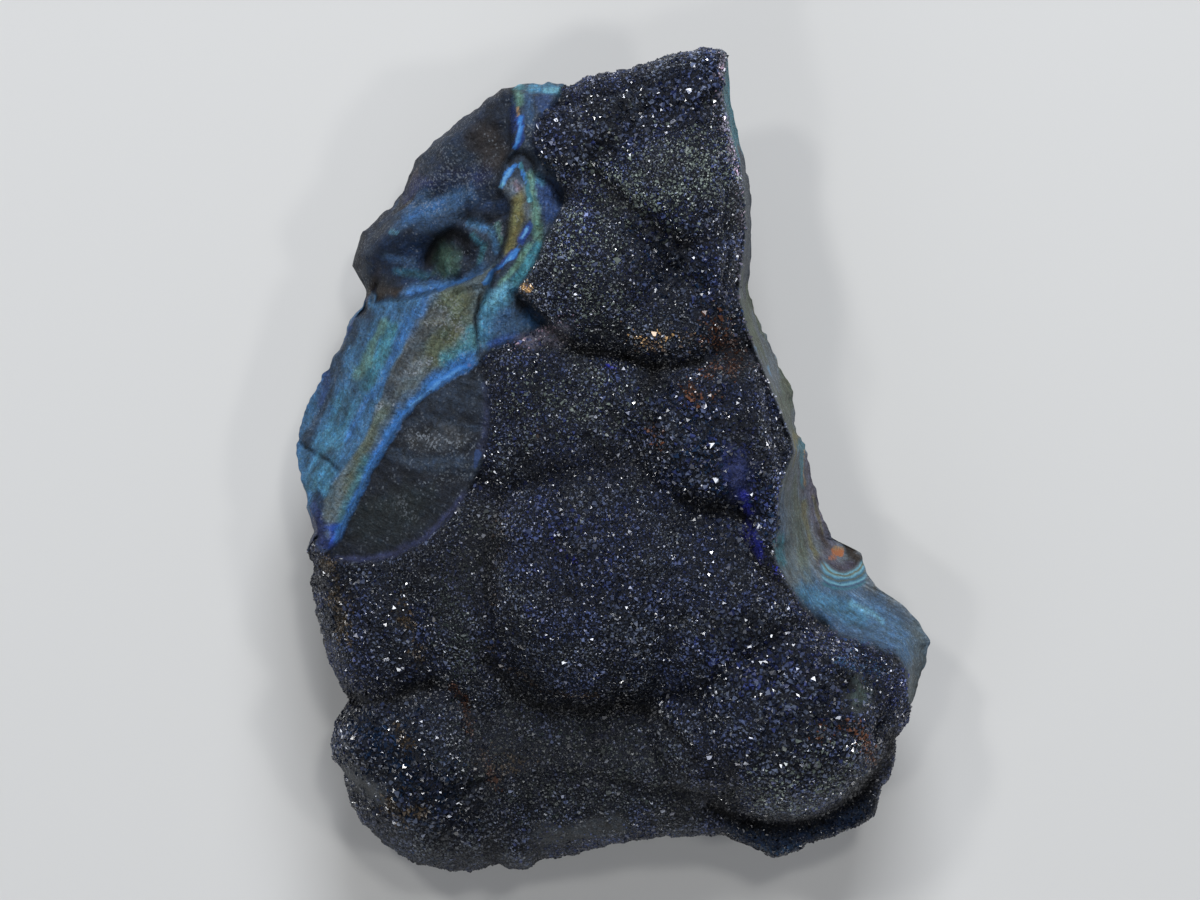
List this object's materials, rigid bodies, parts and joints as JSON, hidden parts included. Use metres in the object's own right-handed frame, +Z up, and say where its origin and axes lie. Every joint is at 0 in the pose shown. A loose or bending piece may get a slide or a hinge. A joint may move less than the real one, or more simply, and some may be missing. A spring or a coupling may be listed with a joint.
{
  "type": "azurite specimen",
  "caption": "Natural azurite specimen: a domed druse crust with ledges on a broken, banded rock, lying flat on its back.",
  "frame": {"origin": "centre of the bounding box at the rest face", "axes": "+Z up out of the crust, +Y along the specimen's length towards its narrow end, +X to the right seen from above"},
  "size_m": [0.064, 0.083, 0.0352],
  "materials": {
    "azurite_stone": "rough"
  },
  "bodies": {
    "root": {"azurite_rock": "azurite_stone"}
  },
  "joints": []
}
